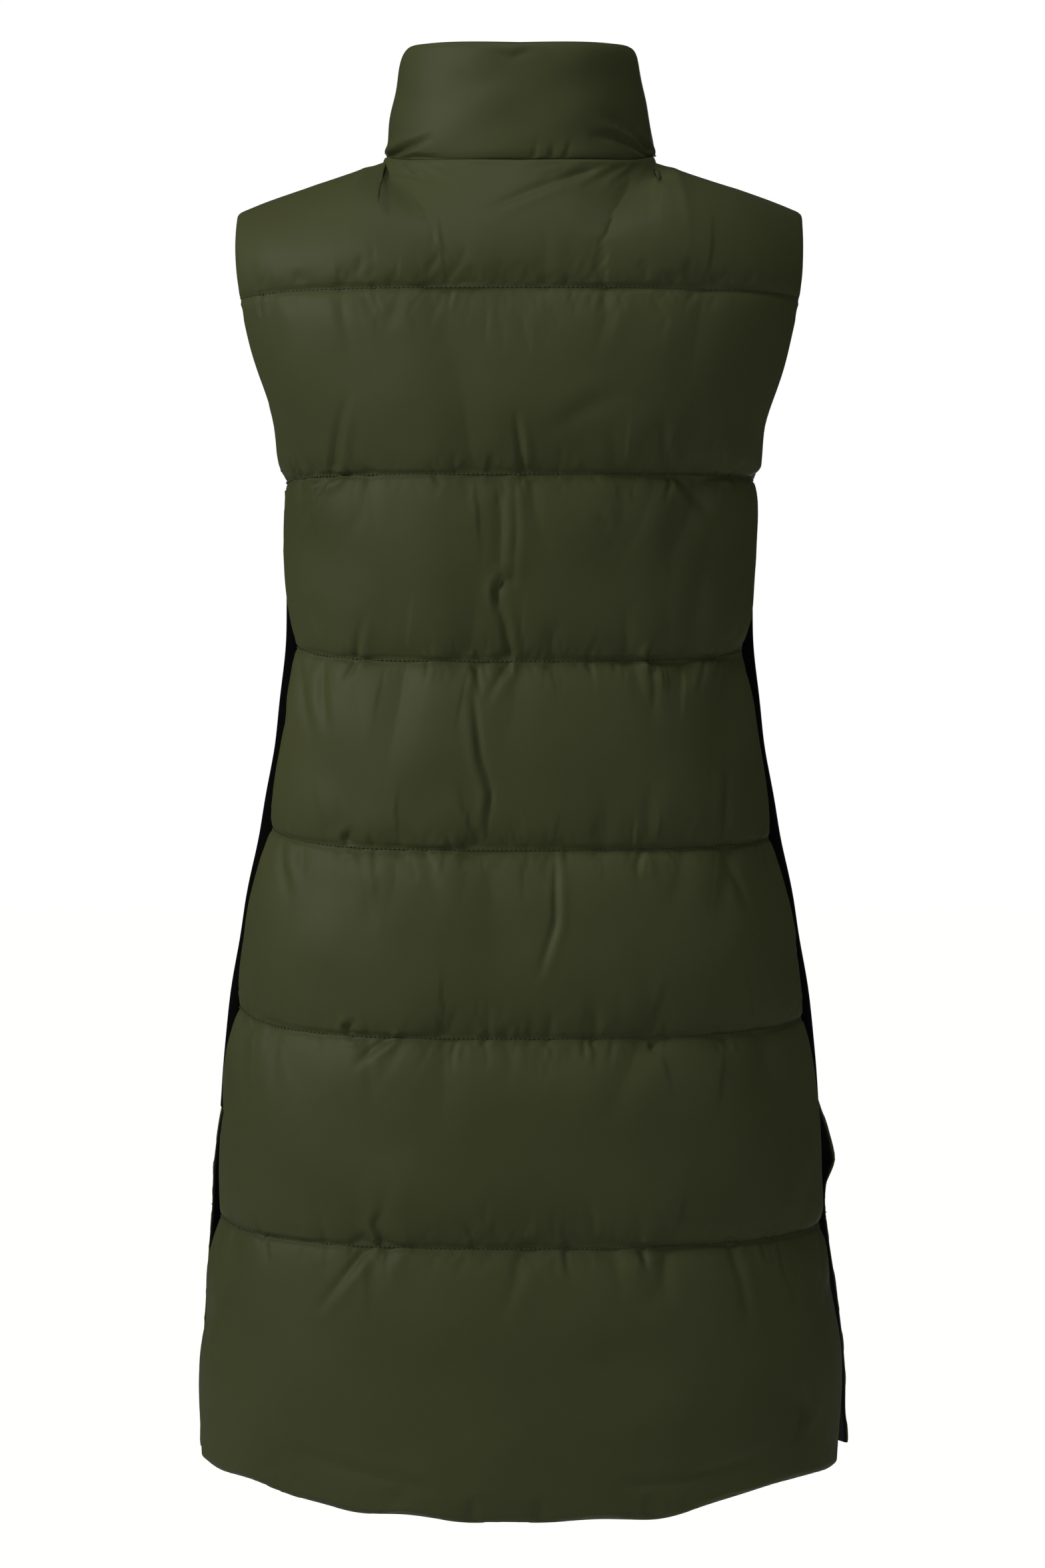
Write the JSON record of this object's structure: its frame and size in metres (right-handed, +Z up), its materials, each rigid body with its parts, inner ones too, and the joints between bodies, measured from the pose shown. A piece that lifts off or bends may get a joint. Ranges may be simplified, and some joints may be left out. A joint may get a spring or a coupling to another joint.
{
  "type": "long puffer vest",
  "caption": "Long quilted puffer vest with a padded stand collar, centre front zip, plain side panels and side vents, in its worn, hollow form.",
  "frame": {"origin": "middle of the neck at the height of the collar seam at the centre back, where the wearer's neck and shoulders hold it", "axes": "+Z up, +Y to the wearer's front, +X to the wearer's right as seen from behind"},
  "size_m": [0.4582, 0.3145, 1.0099],
  "materials": {
    "shell": "satin olive woven polyester",
    "lining": "smooth black taffeta",
    "tape": "matte woven tape",
    "zip_metal": "dark nickel"
  },
  "bodies": {
    "vest": {"back": "shell", "front_left": "shell", "front_right": "shell", "side_left": "lining", "side_right": "lining", "collar": "shell", "lining_back": "lining", "lining_front_left": "lining", "lining_front_right": "lining", "zip_tape_left": "tape", "zip_tape_right": "tape", "zip_chain": "zip_metal", "zip_slider": "zip_metal"},
    "pull": {"zip_pull": "zip_metal"}
  },
  "joints": [
    {"name": "pull_swing", "type": "hinge", "parent": "vest", "child": "pull", "pos_m": [0, 0.07317, 0.03149], "axis": [1, 0, 0], "range_deg": [0, 165]}
  ]
}
